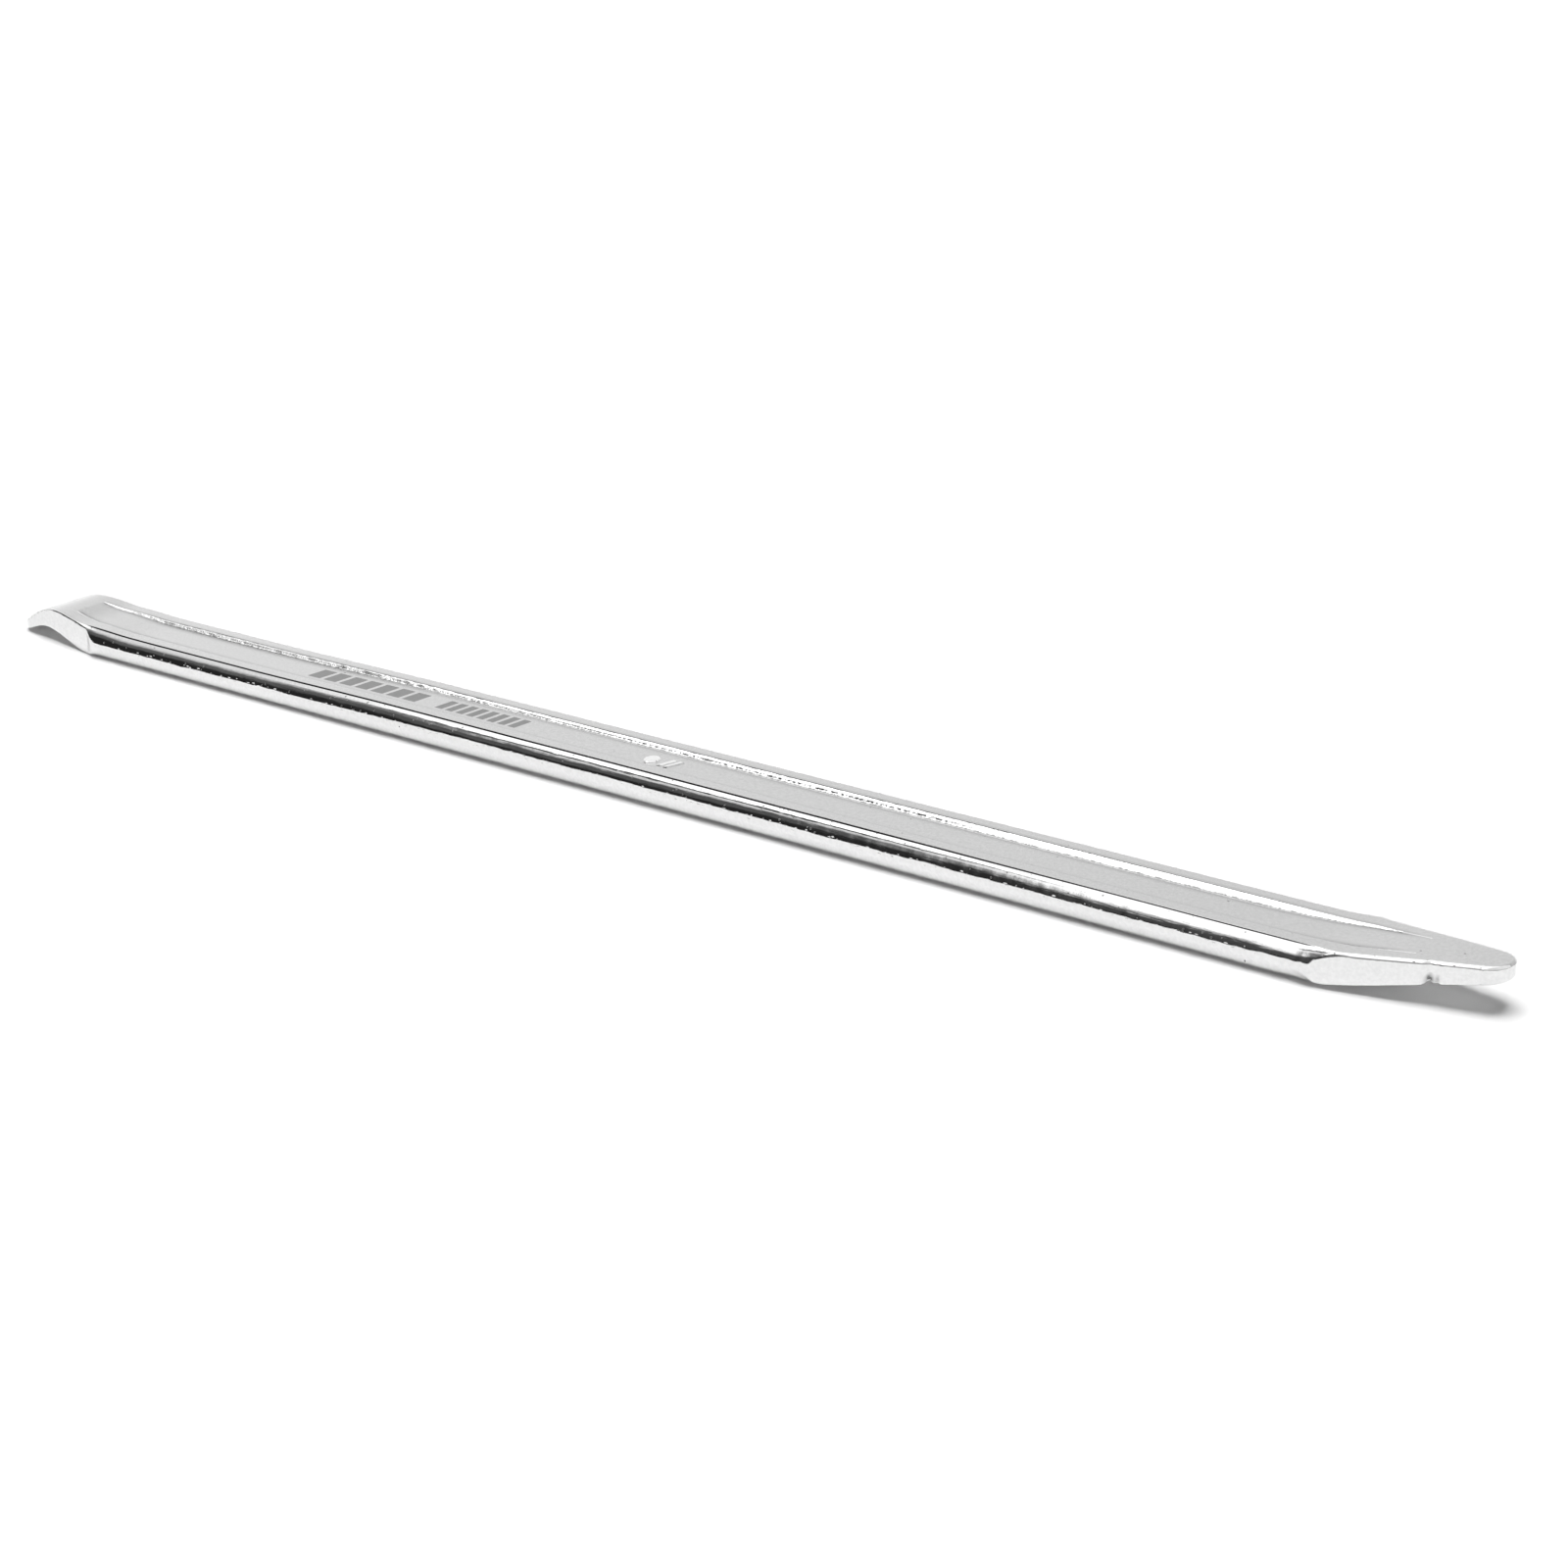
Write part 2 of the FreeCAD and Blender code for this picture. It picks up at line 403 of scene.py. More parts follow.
    def put_floor(self):
        sweep = self.wall_foot - FILLET_RUN
        for s in (0.0, 0.5, 1.0):
            y = sweep * self.room * s
            self.put(y, self.upper(y) - self.depth, SATIN)
        for s in (0.3, 0.55, 0.8, 1.0):
            y = (sweep + FILLET_RUN * s) * self.room
            # painted shade: the floor darkens towards the foot of the wall, in the corner of the recess
            shade_and_stain = self.shown * (FROST_CORNER_SHADE * self.frost * s + FILLET_SHADE * s ** 3)
            self.put(y, self.upper(y) - self.depth * (1 - FILLET_RISE * s ** 4), SATIN, shade_and_stain)

    def put_recess_wall(self):
        for row, s in enumerate(WALL_ROWS):
            y = (self.wall_foot + LIP_RUN + (self.wall_top - self.wall_foot) * s) * self.room
            climb = WALL_FOOT_RISE + WALL_RISE * s + self.chatter * math.sin(2 * math.pi * s)
            shade_and_stain = STROKE_STAIN * self.frost * self.strokes
            # painted shade at the foot of the wall, in the corner of the recess
            shade_and_stain += FILLET_SHADE * self.shown * max(1 - 5 * s, 0.0)
            if row == DOTTED_ROW:
                shade_and_stain += DOT_STAIN * self.dots
            self.put(y, self.upper(y) - self.depth * (1 - climb), DIE_WALL, shade_and_stain)
        # the rounded lip at the top of the wall; on the far side it carries painted shade
        for s, finish in ((0.5, DIE_WALL), (1.0, SATIN), (1.7, SATIN)):
            y = (self.wall_top + LIP_RUN * (1 + s)) * self.room
            drop = self.depth * LIP_DROP * max(1 - s, 0.0)
            self.put(y, self.upper(y) - drop, finish, self.lip_shade * self.shown)

    def put_rim_and_bevel(self):
        bevel_to = self.wall - self.edge_wide
        rim_to = np.minimum(self.rim, bevel_to)
        inner = (self.wall_top + 2.7 * LIP_RUN) * self.room
        for s in (0.3, 0.65, 0.97):
            y = inner + (rim_to - STEP_RUN - inner) * s
            self.put(y, self.upper(y), SATIN)
        # painted dark reflection: a dark line along the outer edge of the rim, weaker towards the tip
        edge_shade = self.shank * (EDGE_SHADE - EDGE_SHADE_FADE * ramp(self.d, *EDGE_SHADE_FADES))
        for s in (1.0, 0.7, 0.3, 0.0):
            y = rim_to - STEP_RUN * s
            self.put(y, self.upper(y), SHADED_EDGE, edge_shade)
        bevel_to = np.maximum(bevel_to, rim_to + 0.004)
        for s in np.linspace(0.05, 1.0, 11):
            y = rim_to + (bevel_to - rim_to) * s
            self.put(y, self.upper(y), BEVEL)
        for s in (0.3, 0.55, 0.75, 0.9, 0.98):
            y = bevel_to + (JUST_INSIDE * self.wall - bevel_to) * s
            self.put(y, self.upper(y), BEVEL)

    def put_edge_and_underside(self):
        crest = self.upper(self.wall)
        base = self.lower(self.wall)
        for s in (0.0, 0.15, 0.5, 0.7, 0.85, 1.0):
            shade_and_stain = NICK_STAIN * self.nick * ramp(s, 0.5, 0.85)
            self.put(self.wall, crest + (base - crest) * s, TRIMMED, shade_and_stain)
        reach = np.minimum(FOOT_HALF, self.wall - EDGE_ROUND)
        for s in (0.1, 0.5, 1.0):
            y = self.wall + (reach - self.wall) * s
            self.put(y, self.lower(y), LOWER_FLANK)
        toe = np.minimum(FOOT_HALF - FOOT_RADIUS, reach * 0.94)
        for s in (0.06, 0.16, 0.3, 0.5, 0.75, 1.0):
            y = reach + (toe - reach) * s
            self.put(y, self.lower(y), UNDERSIDE)
        for s in (0.5, 0.0):
            self.put(toe * s, self.lower(toe * s), UNDERSIDE)


def side_rows(d, seed, far):
    """Across, up, finish and darkening (painted shade and stains) of every row of one side, as four tables.
    """
    side = Side(d, seed, far)
    side.put_floor()
    side.put_recess_wall()
    side.put_rim_and_bevel()
    side.put_edge_and_underside()
    return [np.array(table) for table in zip(*side.rows)]


def end_cap(start, around, half_ring, flip):
    """Faces that close one end, each between a point of one side and its mirror."""
    faces = []
    for i in range(half_ring - 1):
        mirror = [(around - i) % around, (around - i - 1) % around]
        quad = [start + i, start + i + 1, start + mirror[1], start + mirror[0]]
        quad = list(dict.fromkeys(quad))
        if len(quad) > 2:
            faces.append(quad[::-1] if flip else quad)
    return faces


def lever_mesh():
    """Closed skin of the forging, a ring of points at every station."""
    d = stations()
    far = side_rows(d, FAR_SEED, True)
    near = side_rows(d, NEAR_SEED, False)
    near[0] = -near[0]
    y, z, finish, shade_and_stain = (np.concatenate([a, b[-2:0:-1]]) for a, b in zip(far, near))
    around, count = y.shape
    x = np.broadcast_to(d - MIDDLE, y.shape)
    points = np.stack([x, y, np.maximum(z, 0.0)], -1).transpose(1, 0, 2).reshape(-1, 3) * MM
    ring = np.arange(around)
    following = np.roll(ring, -1)
    faces = []
    for s in range(count - 1):
        a, b = s * around, (s + 1) * around
        faces += np.stack([a + ring, b + ring, b + following, a + following], 1).tolist()
    faces += end_cap(0, around, len(far[0]), False)
    faces += end_cap((count - 1) * around, around, len(far[0]), True)
    mesh = bpy.data.meshes.new("forged_lever_skin")
    mesh.from_pydata(points.tolist(), [], faces)
    for name, values in (("zone", finish), ("shade_and_stain", shade_and_stain)):
        layer = mesh.attributes.new(name, "FLOAT", "POINT")
        layer.data.foreach_set("value", values.T.reshape(-1).astype(np.float32))
    mesh.polygons.foreach_set("use_smooth", [True] * len(mesh.polygons))
    mesh.validate()
    bm = bmesh.new()
    bm.from_mesh(mesh)
    bmesh.ops.recalc_face_normals(bm, faces=bm.faces)
    bm.to_mesh(mesh)
    bm.free()
    return mesh


def new_group(name, inputs, outputs):
    """Empty shader node group with its named sockets."""
    group = bpy.data.node_groups.new(name, "ShaderNodeTree")
    for label, value in inputs:
        socket = group.interface.new_socket(label, in_out="INPUT", socket_type="NodeSocketFloat")
        socket.default_value = value
    for label in outputs:
        group.interface.new_socket(label, in_out="OUTPUT", socket_type="NodeSocketFloat")
    return group, group.nodes.new("NodeGroupInput"), group.nodes.new("NodeGroupOutput")


class Wires:
    """Short hand for adding nodes to one tree."""

    def __init__(self, tree):
        self.tree = tree

    def feed(self, socket, value):
        if isinstance(value, bpy.types.NodeSocket):
            self.tree.links.new(value, socket)
        else:
            socket.default_value = value

    def add(self, kind, outlet=0, settings=None, **inputs):
        node = self.tree.nodes.new(kind)
        for key, value in (settings or {}).items():
            setattr(node, key, value)
        for key, value in inputs.items():
            self.feed(node.inputs[key.replace("_", " ")], value)
        return node.outputs[outlet]

    def group(self, group, **inputs):
        node = self.tree.nodes.new("ShaderNodeGroup")
        node.node_tree = group
        for key, value in inputs.items():
            self.feed(node.inputs[key.replace("_", " ")], value)
        return node.outputs

    def math(self, operation, a, b=0.0, clamp=False):
        node = self.tree.nodes.new("ShaderNodeMath")
        node.operation = operation
        node.use_clamp = clamp
        for socket, value in zip(node.inputs, (a, b)):
            self.feed(socket, value)
        return node.outputs[0]

    def times(self, total, *factors):
        for factor in factors:
            total = self.math("MULTIPLY", total, factor)
        return total

    def plus(self, total, *terms):
        for term in terms:
            total = self.math("ADD", total, term)
        return total

    def remap(self, value, lo, hi, out_lo=0.0, out_hi=1.0):
        return self.add("ShaderNodeMapRange", Value=value, From_Min=lo, From_Max=hi, To_Min=out_lo,
                        To_Max=out_hi)

    def blend(self, share, out_lo, out_hi):
        """The first value where the share is 0, the second where it is 1."""
        return self.remap(share, 0.0, 1.0, out_lo, out_hi)

    def vary(self, grain, out_lo, out_hi, lo=0.3, hi=0.7):
        """Spread the useful middle of a noise over a range of values."""
        return self.remap(grain, lo, hi, out_lo, out_hi)

    def noise(self, place, stretch, scale, detail=2.0):
        """Noise whose grain is drawn out along the lever."""
        turned = self.add("ShaderNodeMapping", Vector=place, Scale=(1.0 / stretch, 1.0, 1.0))
        return self.add("ShaderNodeTexNoise", Vector=turned, Scale=scale, Detail=detail)

    def attribute(self, name):
        return self.add("ShaderNodeAttribute", "Fac", {"attribute_name": name})

    def random_vector(self, least, most, seed):
        node = self.tree.nodes.new("FunctionNodeRandomValue")
        node.data_type = "FLOAT_VECTOR"
        for socket, value in ((0, least), (1, most), ("Seed", seed)):
            self.feed(node.inputs[socket], value)
        return node.outputs[0]


def plating_grain():
    """Polishing lines along the lever and the fine orange peel of the plate."""
    grains = {"Lines": (40.0, 3200.0, 3.0), "Peel": (1.0, 1500.0, 2.0), "Cloud": (3.0, 70.0, 3.0),
              "Drag": (9.0, 1900.0, 3.0), "Frost": (1.0, 1900.0, 2.0)}
    group, _, out = new_group("plating_grain", (), grains)
    w = Wires(group)
    place = w.add("ShaderNodeTexCoord", "Object")
    for label, (stretch, scale, detail) in grains.items():
        w.feed(out.inputs[label], w.noise(place, stretch, scale, detail))
    return group


def pitting():
    """Scattered small pits left in the forging under the plate."""
    sizes = (("Spacing", 380.0), ("Share", 0.3), ("Size", 0.12))
    group, ins, out = new_group("pitting", sizes, ("Pit",))
    w = Wires(group)
    place = w.add("ShaderNodeTexCoord", "Object")
    cell = group.nodes.new("ShaderNodeTexVoronoi")
    w.feed(cell.inputs["Vector"], place)
    w.feed(cell.inputs["Scale"], ins.outputs["Spacing"])
    lot = w.add("ShaderNodeSeparateColor", 0, Color=cell.outputs["Color"])
    chosen = w.math("LESS_THAN", lot, ins.outputs["Share"])
    ragged = w.plus(cell.outputs["Distance"], w.times(w.noise(place, 1.0, 3000.0), 0.12))
    near = w.math("LESS_THAN", ragged, ins.outputs["Size"])
    w.feed(out.inputs["Pit"], w.times(chosen, near))
    return group


def etched_bars():
    """A block of plain slanted bars etched in the recess floor."""
    labels = ("From", "To", "Pitch", "Fill", "Half height", "Slant")
    group, ins, out = new_group("etched_bars", [(label, 0.0) for label in labels], ("Etch",))
    start, end, pitch, fill, half, slant = ins.outputs[:len(labels)]
    w = Wires(group)
    split = group.nodes.new("ShaderNodeSeparateXYZ")
    w.feed(split.inputs[0], w.add("ShaderNodeTexCoord", "Object"))
    x, y, z = split.outputs
    leant = w.math("SUBTRACT", x, w.times(y, slant))
    phase = w.math("FRACT", w.math("DIVIDE", w.math("SUBTRACT", leant, start), pitch))
    bars = w.math("LESS_THAN", phase, fill)
    inside = w.times(w.math("GREATER_THAN", leant, start), w.math("LESS_THAN", leant, end))
    band = w.math("LESS_THAN", w.math("ABSOLUTE", y), half)
    on_top = w.math("GREATER_THAN", z, 3.5 * MM)
    w.feed(out.inputs["Etch"], w.times(bars, inside, band, on_top))
    return group


def etched_blocks(w):
    """1 inside the bars of either block, 0 elsewhere."""
    bars = etched_bars()
    blocks = []
    for start, end, pitch, fill in ETCHED_BLOCKS:
        block = w.group(bars, From=(start - MIDDLE) * MM, To=(end - MIDDLE) * MM, Pitch=pitch * MM,
                        Fill=fill, Half_height=ETCHED_HALF * MM, Slant=ETCHED_SLANT)
        blocks.append(block[0])
    return w.math("MAXIMUM", *blocks)


def chrome_plate():
    """Chrome over a forging: satin on the top faces, bright on bevels, walls and flanks."""
    mat = bpy.data.materials.new("chrome_plate")
    mat.use_nodes = True
    w = Wires(mat.node_tree)
    shader = mat.node_tree.nodes["Principled BSDF"]
    shader.inputs["Metallic"].default_value = 1.0
    zone = w.attribute("zone")
    # Each finish fades into the next between their two numbers
    satin = w.remap(zone, 0.5, 0.9, 1.0, 0.0)
    wall = w.times(w.remap(zone, 0.6, 1.0), w.remap(zone, 1.3, 1.7, 1.0, 0.0))
    bevel = w.times(w.remap(zone, 2.6, 2.9), w.remap(zone, 3.4, 3.8, 1.0, 0.0))
    lines, peel, cloud, drag, frost = w.group(plating_grain())
    pits = pitting()
    pit = w.math("MAXIMUM", w.group(pits)[0], w.times(w.group(pits, **FINE_PITS)[0], bevel))
    etch = w.times(etched_blocks(w), satin)
    patchy = w.vary(frost, w.blend(wall, 0.7, 0.2), w.blend(wall, 1.15, 1.8), 0.4, 0.6)
    tone = w.times(w.blend(satin, BRIGHT_TONE, SATIN_TONE),
                   # painted highlight: a brighter plate on the recess walls
                   w.blend(wall, 1.0, WALL_SHEEN_TONE),
                   w.vary(cloud, 0.985, 1.015),
                   w.blend(etch, 1.0, ETCH_TONE),
                   # darkening by the painted shade and the stains carried on the mesh
                   w.math("SUBTRACT", 1.0, w.times(w.attribute("shade_and_stain"), patchy), clamp=True),
                   w.vary(frost, 0.95, 1.05),
                   w.blend(pit, 1.0, PIT_TONE))
    w.feed(shader.inputs["Base Color"],
           w.add("ShaderNodeCombineColor", 0, None, Red=tone, Green=tone, Blue=tone))
    rough = w.plus(w.blend(satin, BRIGHT_ROUGH, SATIN_ROUGH),
                   w.times(w.vary(cloud, 0.0, 1.0, 0.35, 0.65), 0.02),
                   w.times(etch, 0.2),
                   w.times(pit, 0.3))
    w.feed(shader.inputs["Roughness"], rough)
    height = w.plus(w.times(lines, w.blend(bevel, 0.15, 0.4)),
                    w.times(drag, bevel, 1.4),
                    w.times(peel, w.blend(wall, 0.4, 4.0)),
                    w.times(etch, -0.6),
                    w.times(pit, -3.0))
    bump = w.add("ShaderNodeBump", 0, None, Height=height, Distance=GRAIN_HEIGHT, Strength=1.0)
    w.feed(shader.inputs["Normal"], bump)
    return mat


def marks_in_a_row():
    """Geometry tree: small ridges set on the lever's surface in a row, as a worn die leaves them."""
    tree = bpy.data.node_groups.new("marks_in_a_row", "GeometryNodeTree")
    for label, kind in (("Lever", "Geometry"), ("Count", "Int"), ("First", "Vector"), ("Step", "Vector"),
                        ("Scatter", "Vector"), ("Smallest", "Vector"), ("Largest", "Vector"),
                        ("Zone", "Float"), ("Seed", "Int"), ("Plate", "Material")):
        tree.interface.new_socket(label, in_out="INPUT", socket_type="NodeSocket" + kind)
    tree.interface.new_socket("Marked lever", in_out="OUTPUT", socket_type="NodeSocketGeometry")
    w = Wires(tree)
    ins = tree.nodes.new("NodeGroupInput").outputs
    out = tree.nodes.new("NodeGroupOutput")
    lever = ins["Lever"]
    row = w.add("GeometryNodeMeshLine", 0, {"mode": "OFFSET"}, Count=ins["Count"],
                Start_Location=ins["First"], Offset=ins["Step"])
    away = w.add("ShaderNodeVectorMath", 0, {"operation": "SCALE"}, Vector=ins["Scatter"], Scale=-1.0)
    shake = w.random_vector(away, ins["Scatter"], ins["Seed"])
    row = w.add("GeometryNodeSetPosition", 0, None, Geometry=row, Offset=shake)
    nearest = w.add("GeometryNodeProximity", "Position", {"target_element": "FACES"}, Geometry=lever)
    row = w.add("GeometryNodeSetPosition", 0, None, Geometry=row, Position=nearest)
    skin = tree.nodes.new("GeometryNodeSampleNearestSurface")
    skin.data_type = "FLOAT_VECTOR"
    w.feed(skin.inputs["Mesh"], lever)
    w.feed(skin.inputs["Value"], w.add("GeometryNodeInputNormal", 0))
    stand = w.add("FunctionNodeAlignRotationToVector", 0, {"axis": "Z", "pivot_axis": "X"},
                  Vector=skin.outputs[0])
    size = w.random_vector(ins["Smallest"], ins["Largest"], w.plus(ins["Seed"], 1.0))
    ridge = w.add("GeometryNodeMeshIcoSphere", 0, None, Radius=1.0, Subdivisions=1)
    ridge = w.add("GeometryNodeSetShadeSmooth", 0, None, Geometry=ridge)
    ridge = w.add("GeometryNodeStoreNamedAttribute", 0, {"data_type": "FLOAT", "domain": "POINT"},
                  Geometry=ridge, Name="zone", Value=ins["Zone"])
    ridges = w.add("GeometryNodeInstanceOnPoints", 0, None, Points=row, Instance=ridge, Rotation=stand,
                   Scale=size)
    join = tree.nodes.new("GeometryNodeJoinGeometry")
    w.feed(join.inputs[0], ridges)
    w.feed(join.inputs[0], lever)
    marked = w.add("GeometryNodeRealizeInstances", 0, None, Geometry=join.outputs[0])
    marked = w.add("GeometryNodeSetMaterial", 0, None, Geometry=marked, Material=ins["Plate"])
    w.feed(out.inputs[0], marked)
    return tree


def add_row(obj, tree, plate, **sizes):
    """One row of die marks as a modifier; lengths in millimetres."""
    row = obj.modifiers.new("row_of_marks", "NODES")
    row.node_group = tree
    sockets = {i.name: i.identifier for i in tree.interface.items_tree if i.in_out == "INPUT"}
    for label, value in sizes.items():
        if isinstance(value, tuple):
            value = [v * MM for v in value]
        row[sockets[label]] = value
    row[sockets["Plate"]] = plate


def die_marks(obj, plate):
    """Chatter on the recess walls and torn flash along the parting line."""
    tree = marks_in_a_row()
    for n, side in enumerate((1, -1)):
        # Strokes across the wall behind the spoon
        add_row(obj, tree, plate, Count=200, First=(30.0 - MIDDLE, side * 4.15, 5.35), Step=(0.58, 0.0, 0.0),
                Scatter=(0.15, 0.05, 0.0), Smallest=(0.08, 0.25, 0.01), Largest=(0.15, 0.42, 0.03),
                Zone=DIE_WALL, Seed=20 + n)
        # Dots along the middle of the wall
        add_row(obj, tree, plate, Count=330, First=(100.0 - MIDDLE, side * 4.15, 5.3), Step=(0.45, 0.0, 0.0),
                Scatter=(0.2, 0.03, 0.0), Smallest=(0.08, 0.04, 0.01), Largest=(0.2, 0.08, 0.035),
                Zone=DIE_WALL, Seed=30 + n)
        # Torn flash on the parting line
        add_row(obj, tree, plate, Count=170, First=(34.0 - MIDDLE, side * 8.6, 3.4), Step=(1.4, 0.0, 0.0),
                Scatter=(0.9, 0.0, 0.35), Smallest=(0.06, 0.04, 0.015), Largest=(0.45, 0.14, 0.03),
                Zone=BEVEL, Seed=40 + n)
    view = bpy.context.evaluated_depsgraph_get()
    marked = bpy.data.meshes.new_from_object(obj.evaluated_get(view), preserve_all_data_layers=True,
                                             depsgraph=view)
    obj.modifiers.clear()
    obj.data = marked


def raised_shape(bm, layer, outline):
    """Low raised shape with sloping sides on the recess floor."""
    base = THICKNESS - RECESS_DEPTH - MARK_SUNK
    centre = np.mean(outline, 0)
    rings = []
    for inset, z in ((0.0, base - 0.1), (0.0, base + 0.3 * MARK_HEIGHT), (MARK_SLOPE, base + MARK_HEIGHT)):
        ring = []
        for point in outline:
            out = point - centre
            out *= 1 - inset / np.hypot(*out)
            vert = bm.verts.new((*((centre + out) * MM), z * MM))
            # the raised mark takes the recess wall's brighter plate, a painted highlight
            vert[layer] = DIE_WALL
            ring.append(vert)
        rings.append(ring)
    for low_ring, high_ring in zip(rings, rings[1:]):
        for i in range(len(outline)):
            j = (i + 1) % len(outline)
            bm.faces.new((low_ring[i], low_ring[j], high_ring[j], high_ring[i])).smooth = False
    bm.faces.new(rings[-1])
    bm.faces.new(rings[0][::-1])


def forging_mark(mesh):
    """Disc and two slanted bars that the die raises on the recess floor."""
    bm = bmesh.new()
    bm.from_mesh(mesh)
    layer = bm.verts.layers.float["zone"]
    x, y, r = MARK_FROM - MIDDLE, MARK_SIDE, MARK_RADIUS
    turns = np.linspace(0, 2 * math.pi, 20, endpoint=False)
    raised_shape(bm, layer, np.stack([x + 0.8 * r * np.cos(turns), y + r * np.sin(turns)], -1))
    for n in range(2):
        left = x + r + BAR_GAP + n * BAR_PITCH
        foot = ((left, y - r), (left + BAR_WIDE, y - r))
        head = ((left + BAR_WIDE + BAR_LEAN, y + r), (left + BAR_LEAN, y + r))
        raised_shape(bm, layer, np.array(foot + head))
    bm.to_mesh(mesh)
    bm.free()


def build_lever():
    """The forging with its marks and plating, as one piece."""
    mesh = lever_mesh()
    forging_mark(mesh)
    plate = chrome_plate()
    mesh.materials.append(plate)
    obj = bpy.data.objects.new("lever", mesh)
    bpy.context.collection.objects.link(obj)
    die_marks(obj, plate)
    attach(obj, "root")
    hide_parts("forged_lever")


# Light tent: brightness against the angle from the near horizon, over the top, to the far one.
# Each look stands at a place along the tent, in metres, and they blend in between.
NEAR_SPOON = [(0, 0.02), (42, 0.02), (46, 0.11), (56, 0.13), (61, 0.4), (68, 0.7), (78, 0.86),
              (90, 0.8), (110, 1.02), (132, 1.02), (133, 0.06)]
SOFT_SHANK = [(0, 0.02), (39, 0.02), (43, 0.12), (48, 0.08), (56, 0.1), (61, 0.07), (63, 0.02), (66, 0.03),
              (69, 0.4), (73, 1.5), (132, 1.5), (133, 0.06)]
DARK_LINE = [(0, 0.02), (39, 0.02), (43, 0.09), (52, 0.1), (56, 0.55), (60, 0.85), (63, 0.6), (65, 0.03),
             (67, 0.01), (71, 0.01), (73, 1.7), (132, 1.7), (133, 0.06)]
NEAR_TIP = [(0, 0.04), (20, 0.05), (38, 0.08), (44, 0.8), (46, 1.2), (49, 1.4), (50, 0.9), (51, 1.6),
            (132, 1.7), (133, 0.06)]
OPEN_END = [(0, 0.4), (30, 0.5), (60, 0.75), (132, 1.0), (133, 0.9)]
TENT_LOOKS = ((-2.9, NEAR_SPOON), (-2.55, SOFT_SHANK), (-2.35, DARK_LINE), (-1.55, DARK_LINE),
              (-1.25, NEAR_TIP), (-0.7, NEAR_TIP), (0.2, OPEN_END))
# The far half is evenly lit and dims along the tent; a level face mirrors it at LEVEL_ANGLE
SEAM = 0.06
SEAM_FROM = 134.0
FAR_HALF = (134.5, 136.5)
FAR_LIGHT = 0.86
FAR_LIGHT_FALL = 0.06
FAR_LIGHT_AT = -0.76
FAR_LIGHT_LEAST = 0.7
FAR_LIGHT_MOST = 1.1
LEVEL_ANGLE = 154.5
LEVEL_GAIN = 0.003
TENT_RADIUS = 3.0
TENT_HALF_LENGTH = 7.0
TENT_ENDS_AT = 6.9
TABLE_HALF = 6.0

# Camera
LENS = 60.9
CAMERA_AT = (0.2597, -0.3273, 0.1655)
YAW = math.radians(-35.09)
PITCH = math.radians(21.69)
ROLL = math.radians(-0.21)


def tent_light(angle, x):
    """Brightness inside the light tent; 0 degrees is the near horizon, 180 the far one."""
    places = [place for place, _ in TENT_LOOKS]
    front = np.zeros_like(angle)
    for own, (_, look) in zip(np.eye(len(places)), TENT_LOOKS):
        front += np.interp(x, places, own) * np.interp(angle, *np.array(look).T)
    along = np.clip(FAR_LIGHT - FAR_LIGHT_FALL * (x - FAR_LIGHT_AT), FAR_LIGHT_LEAST, FAR_LIGHT_MOST)
    back = along * (1 + LEVEL_GAIN * (angle - LEVEL_ANGLE)) * ramp(angle, *FAR_HALF)
    return np.where(angle < SEAM_FROM, front, np.maximum(back, SEAM))


def glowing(name, strength):
    """White cloth that gives light; the strength is a number or the name of a mesh attribute."""
    mat = bpy.data.materials.new(name)
    mat.use_nodes = True
    tree = mat.node_tree
    tree.nodes.clear()
    w = Wires(tree)
    if isinstance(strength, str):
        strength = w.attribute(strength)
    out = tree.nodes.new("ShaderNodeOutputMaterial")
    w.feed(out.inputs["Surface"], w.add("ShaderNodeEmission", 0, None, Strength=strength))
    return mat


def stage_piece(name, points, faces, material):
    """Part of the studio, which isn't part of the lever."""
    mesh = bpy.data.meshes.new(name)
    mesh.from_pydata(points, [], faces)
    mesh.materials.append(material)
    obj = bpy.data.objects.new(name, mesh)
    bpy.context.collection.objects.link(obj)
    return obj


def only_plating_sees(obj):
    obj.visible_camera = False
    obj.visible_diffuse = False
    obj.visible_shadow = False


def light_tent():
    """Half round tent over the lever."""
    angles = np.radians(np.arange(0.0, 180.5, 1.0))
    runs = np.linspace(-TENT_HALF_LENGTH, TENT_HALF_LENGTH, 57)
    a, x = np.meshgrid(angles, runs, indexing="ij")
    points = np.stack([x, -TENT_RADIUS * np.cos(a), TENT_RADIUS * np.sin(a)], -1).reshape(-1, 3)
    faces = []
    for i in range(len(angles) - 1):
        for j in range(len(runs) - 1):
            k = i * len(runs) + j
            faces.append((k, k + 1, k + 1 + len(runs), k + len(runs)))
    tent = stage_piece("light_tent", points, faces, glowing("tent_cloth", "glow"))
    glow = tent.data.attributes.new("glow", "FLOAT", "POINT")
    glow.data.foreach_set("value", tent_light(np.degrees(a), x).reshape(-1).astype(np.float32))
    only_plating_sees(tent)


def tent_ends():
    """White cloth closing both ends of the tent."""
    cloth = glowing("tent_end_cloth", 0.6)
    for name, x in (("tent_end_left", -TENT_ENDS_AT), ("tent_end_right", TENT_ENDS_AT)):
        corners = [(x, -TENT_RADIUS, 0), (x, TENT_RADIUS, 0), (x, TENT_RADIUS, TENT_RADIUS),
                   (x, -TENT_RADIUS, TENT_RADIUS)]
        only_plating_sees(stage_piece(name, corners, [(0, 1, 2, 3)], cloth))


def room_wall(radius, height):
    """Low white wall round the table; it lights the table and closes the view."""
    points, faces = [], []
    for i, turn in enumerate(np.linspace(0.0, 2 * math.pi, 65)):
        x, y = radius * math.cos(turn), radius * math.sin(turn)
        points += [(x, y, -0.01), (x, y, height)]
        if i:
            faces.append((2 * i - 2, 2 * i - 1, 2 * i + 1, 2 * i))
    wall = stage_piece("room_wall", points, faces, glowing("wall_white", 1.0))
    wall.visible_glossy = False


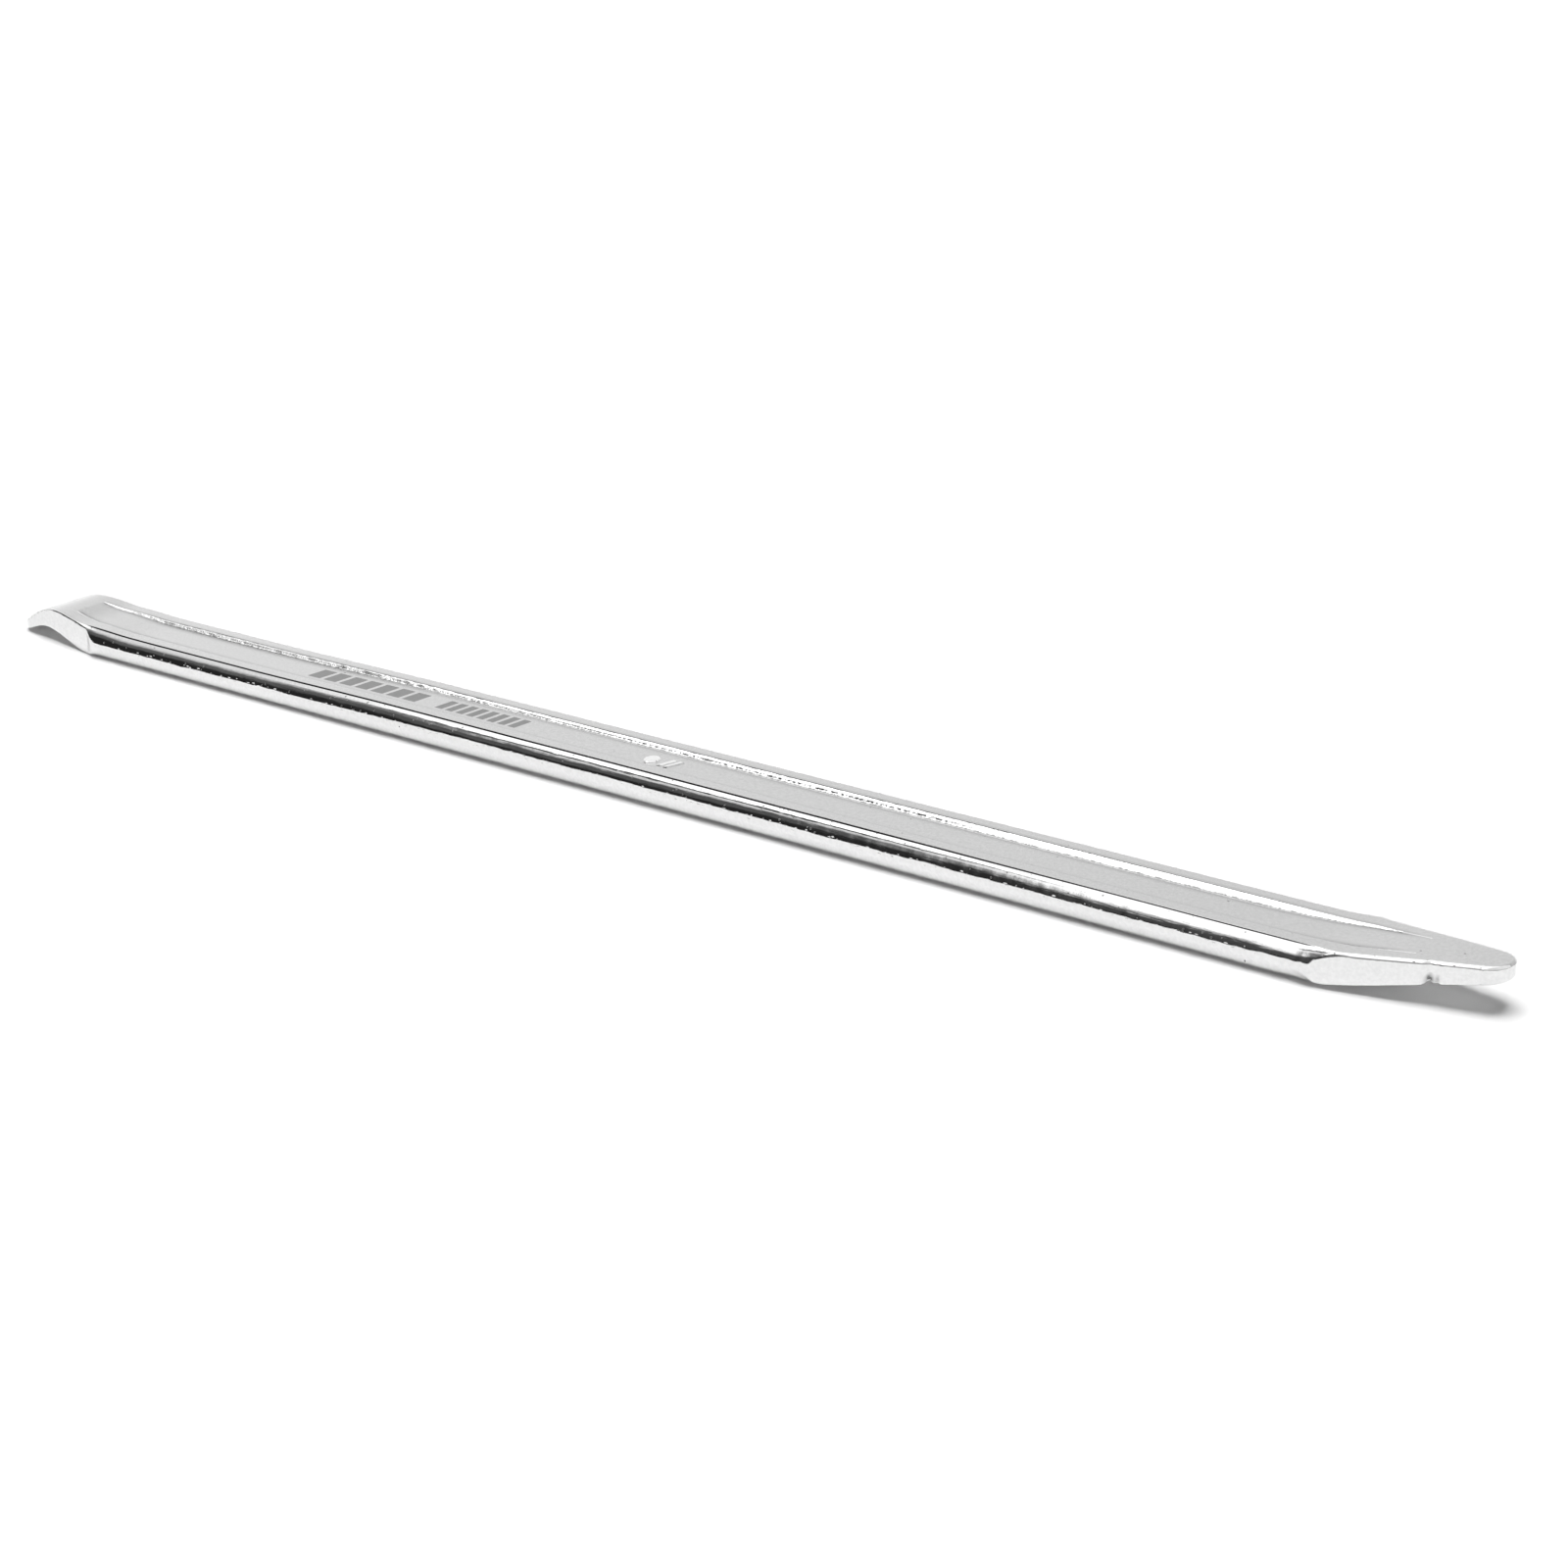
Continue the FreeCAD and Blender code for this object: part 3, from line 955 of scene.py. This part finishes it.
def white_table():
    """White table top, lit to full white away from the lever."""
    mat = bpy.data.materials.new("white_table")
    mat.use_nodes = True
    w = Wires(mat.node_tree)
    shader = mat.node_tree.nodes["Principled BSDF"]
    shader.inputs["Base Color"].default_value = (0.9, 0.9, 0.9, 1)
    shader.inputs["Roughness"].default_value = 0.9
    shader.inputs["Specular IOR Level"].default_value = 0.0
    place = w.add("ShaderNodeTexCoord", "Object")
    reach = w.add("ShaderNodeVectorMath", "Value", {"operation": "LENGTH"}, Vector=place)
    shader.inputs["Emission Color"].default_value = (1, 1, 1, 1)
    w.feed(shader.inputs["Emission Strength"], w.remap(reach, 0.2, 1.2, 0.0, 1.1))
    return mat


def table():
    half = TABLE_HALF
    corners = [(-half, -half, 0), (half, -half, 0), (half, half, 0), (-half, half, 0)]
    stage_piece("table", corners, [(0, 1, 2, 3)], white_table())


def top_lamp():
    """Soft lamp that lights the table; the plating sees only the tent."""
    light = bpy.data.lights.new("top_lamp", "AREA")
    light.size = 1.0
    light.energy = 29.0
    lamp = bpy.data.objects.new("top_lamp", light)
    lamp.location = (0, -0.1, 1.6)
    lamp.visible_glossy = False
    bpy.context.collection.objects.link(lamp)


def dark_world():
    world = bpy.data.worlds.new("studio_dark")
    world.use_nodes = True
    world.node_tree.nodes["Background"].inputs["Color"].default_value = (0.02, 0.02, 0.02, 1)
    bpy.context.scene.world = world


def camera():
    cam = bpy.data.cameras.new("camera")
    cam.sensor_width = 36.0
    cam.lens = LENS
    cam.clip_start = 0.01
    obj = bpy.data.objects.new("camera", cam)
    ahead = Vector((math.sin(YAW) * math.cos(PITCH), math.cos(YAW) * math.cos(PITCH), -math.sin(PITCH)))
    side = Vector((math.cos(YAW), -math.sin(YAW), 0))
    up = side.cross(ahead)
    side, up = (math.cos(ROLL) * side + math.sin(ROLL) * up,
                math.cos(ROLL) * up - math.sin(ROLL) * side)
    turn = Matrix((side, up, -ahead)).transposed().to_4x4()
    obj.matrix_world = Matrix.Translation(CAMERA_AT) @ turn
    bpy.context.collection.objects.link(obj)
    bpy.context.scene.camera = obj


build_lever()
table()
room_wall(4.0, 1.7)
light_tent()
tent_ends()
top_lamp()
dark_world()
camera()
bpy.context.scene.view_settings.view_transform = "Standard"
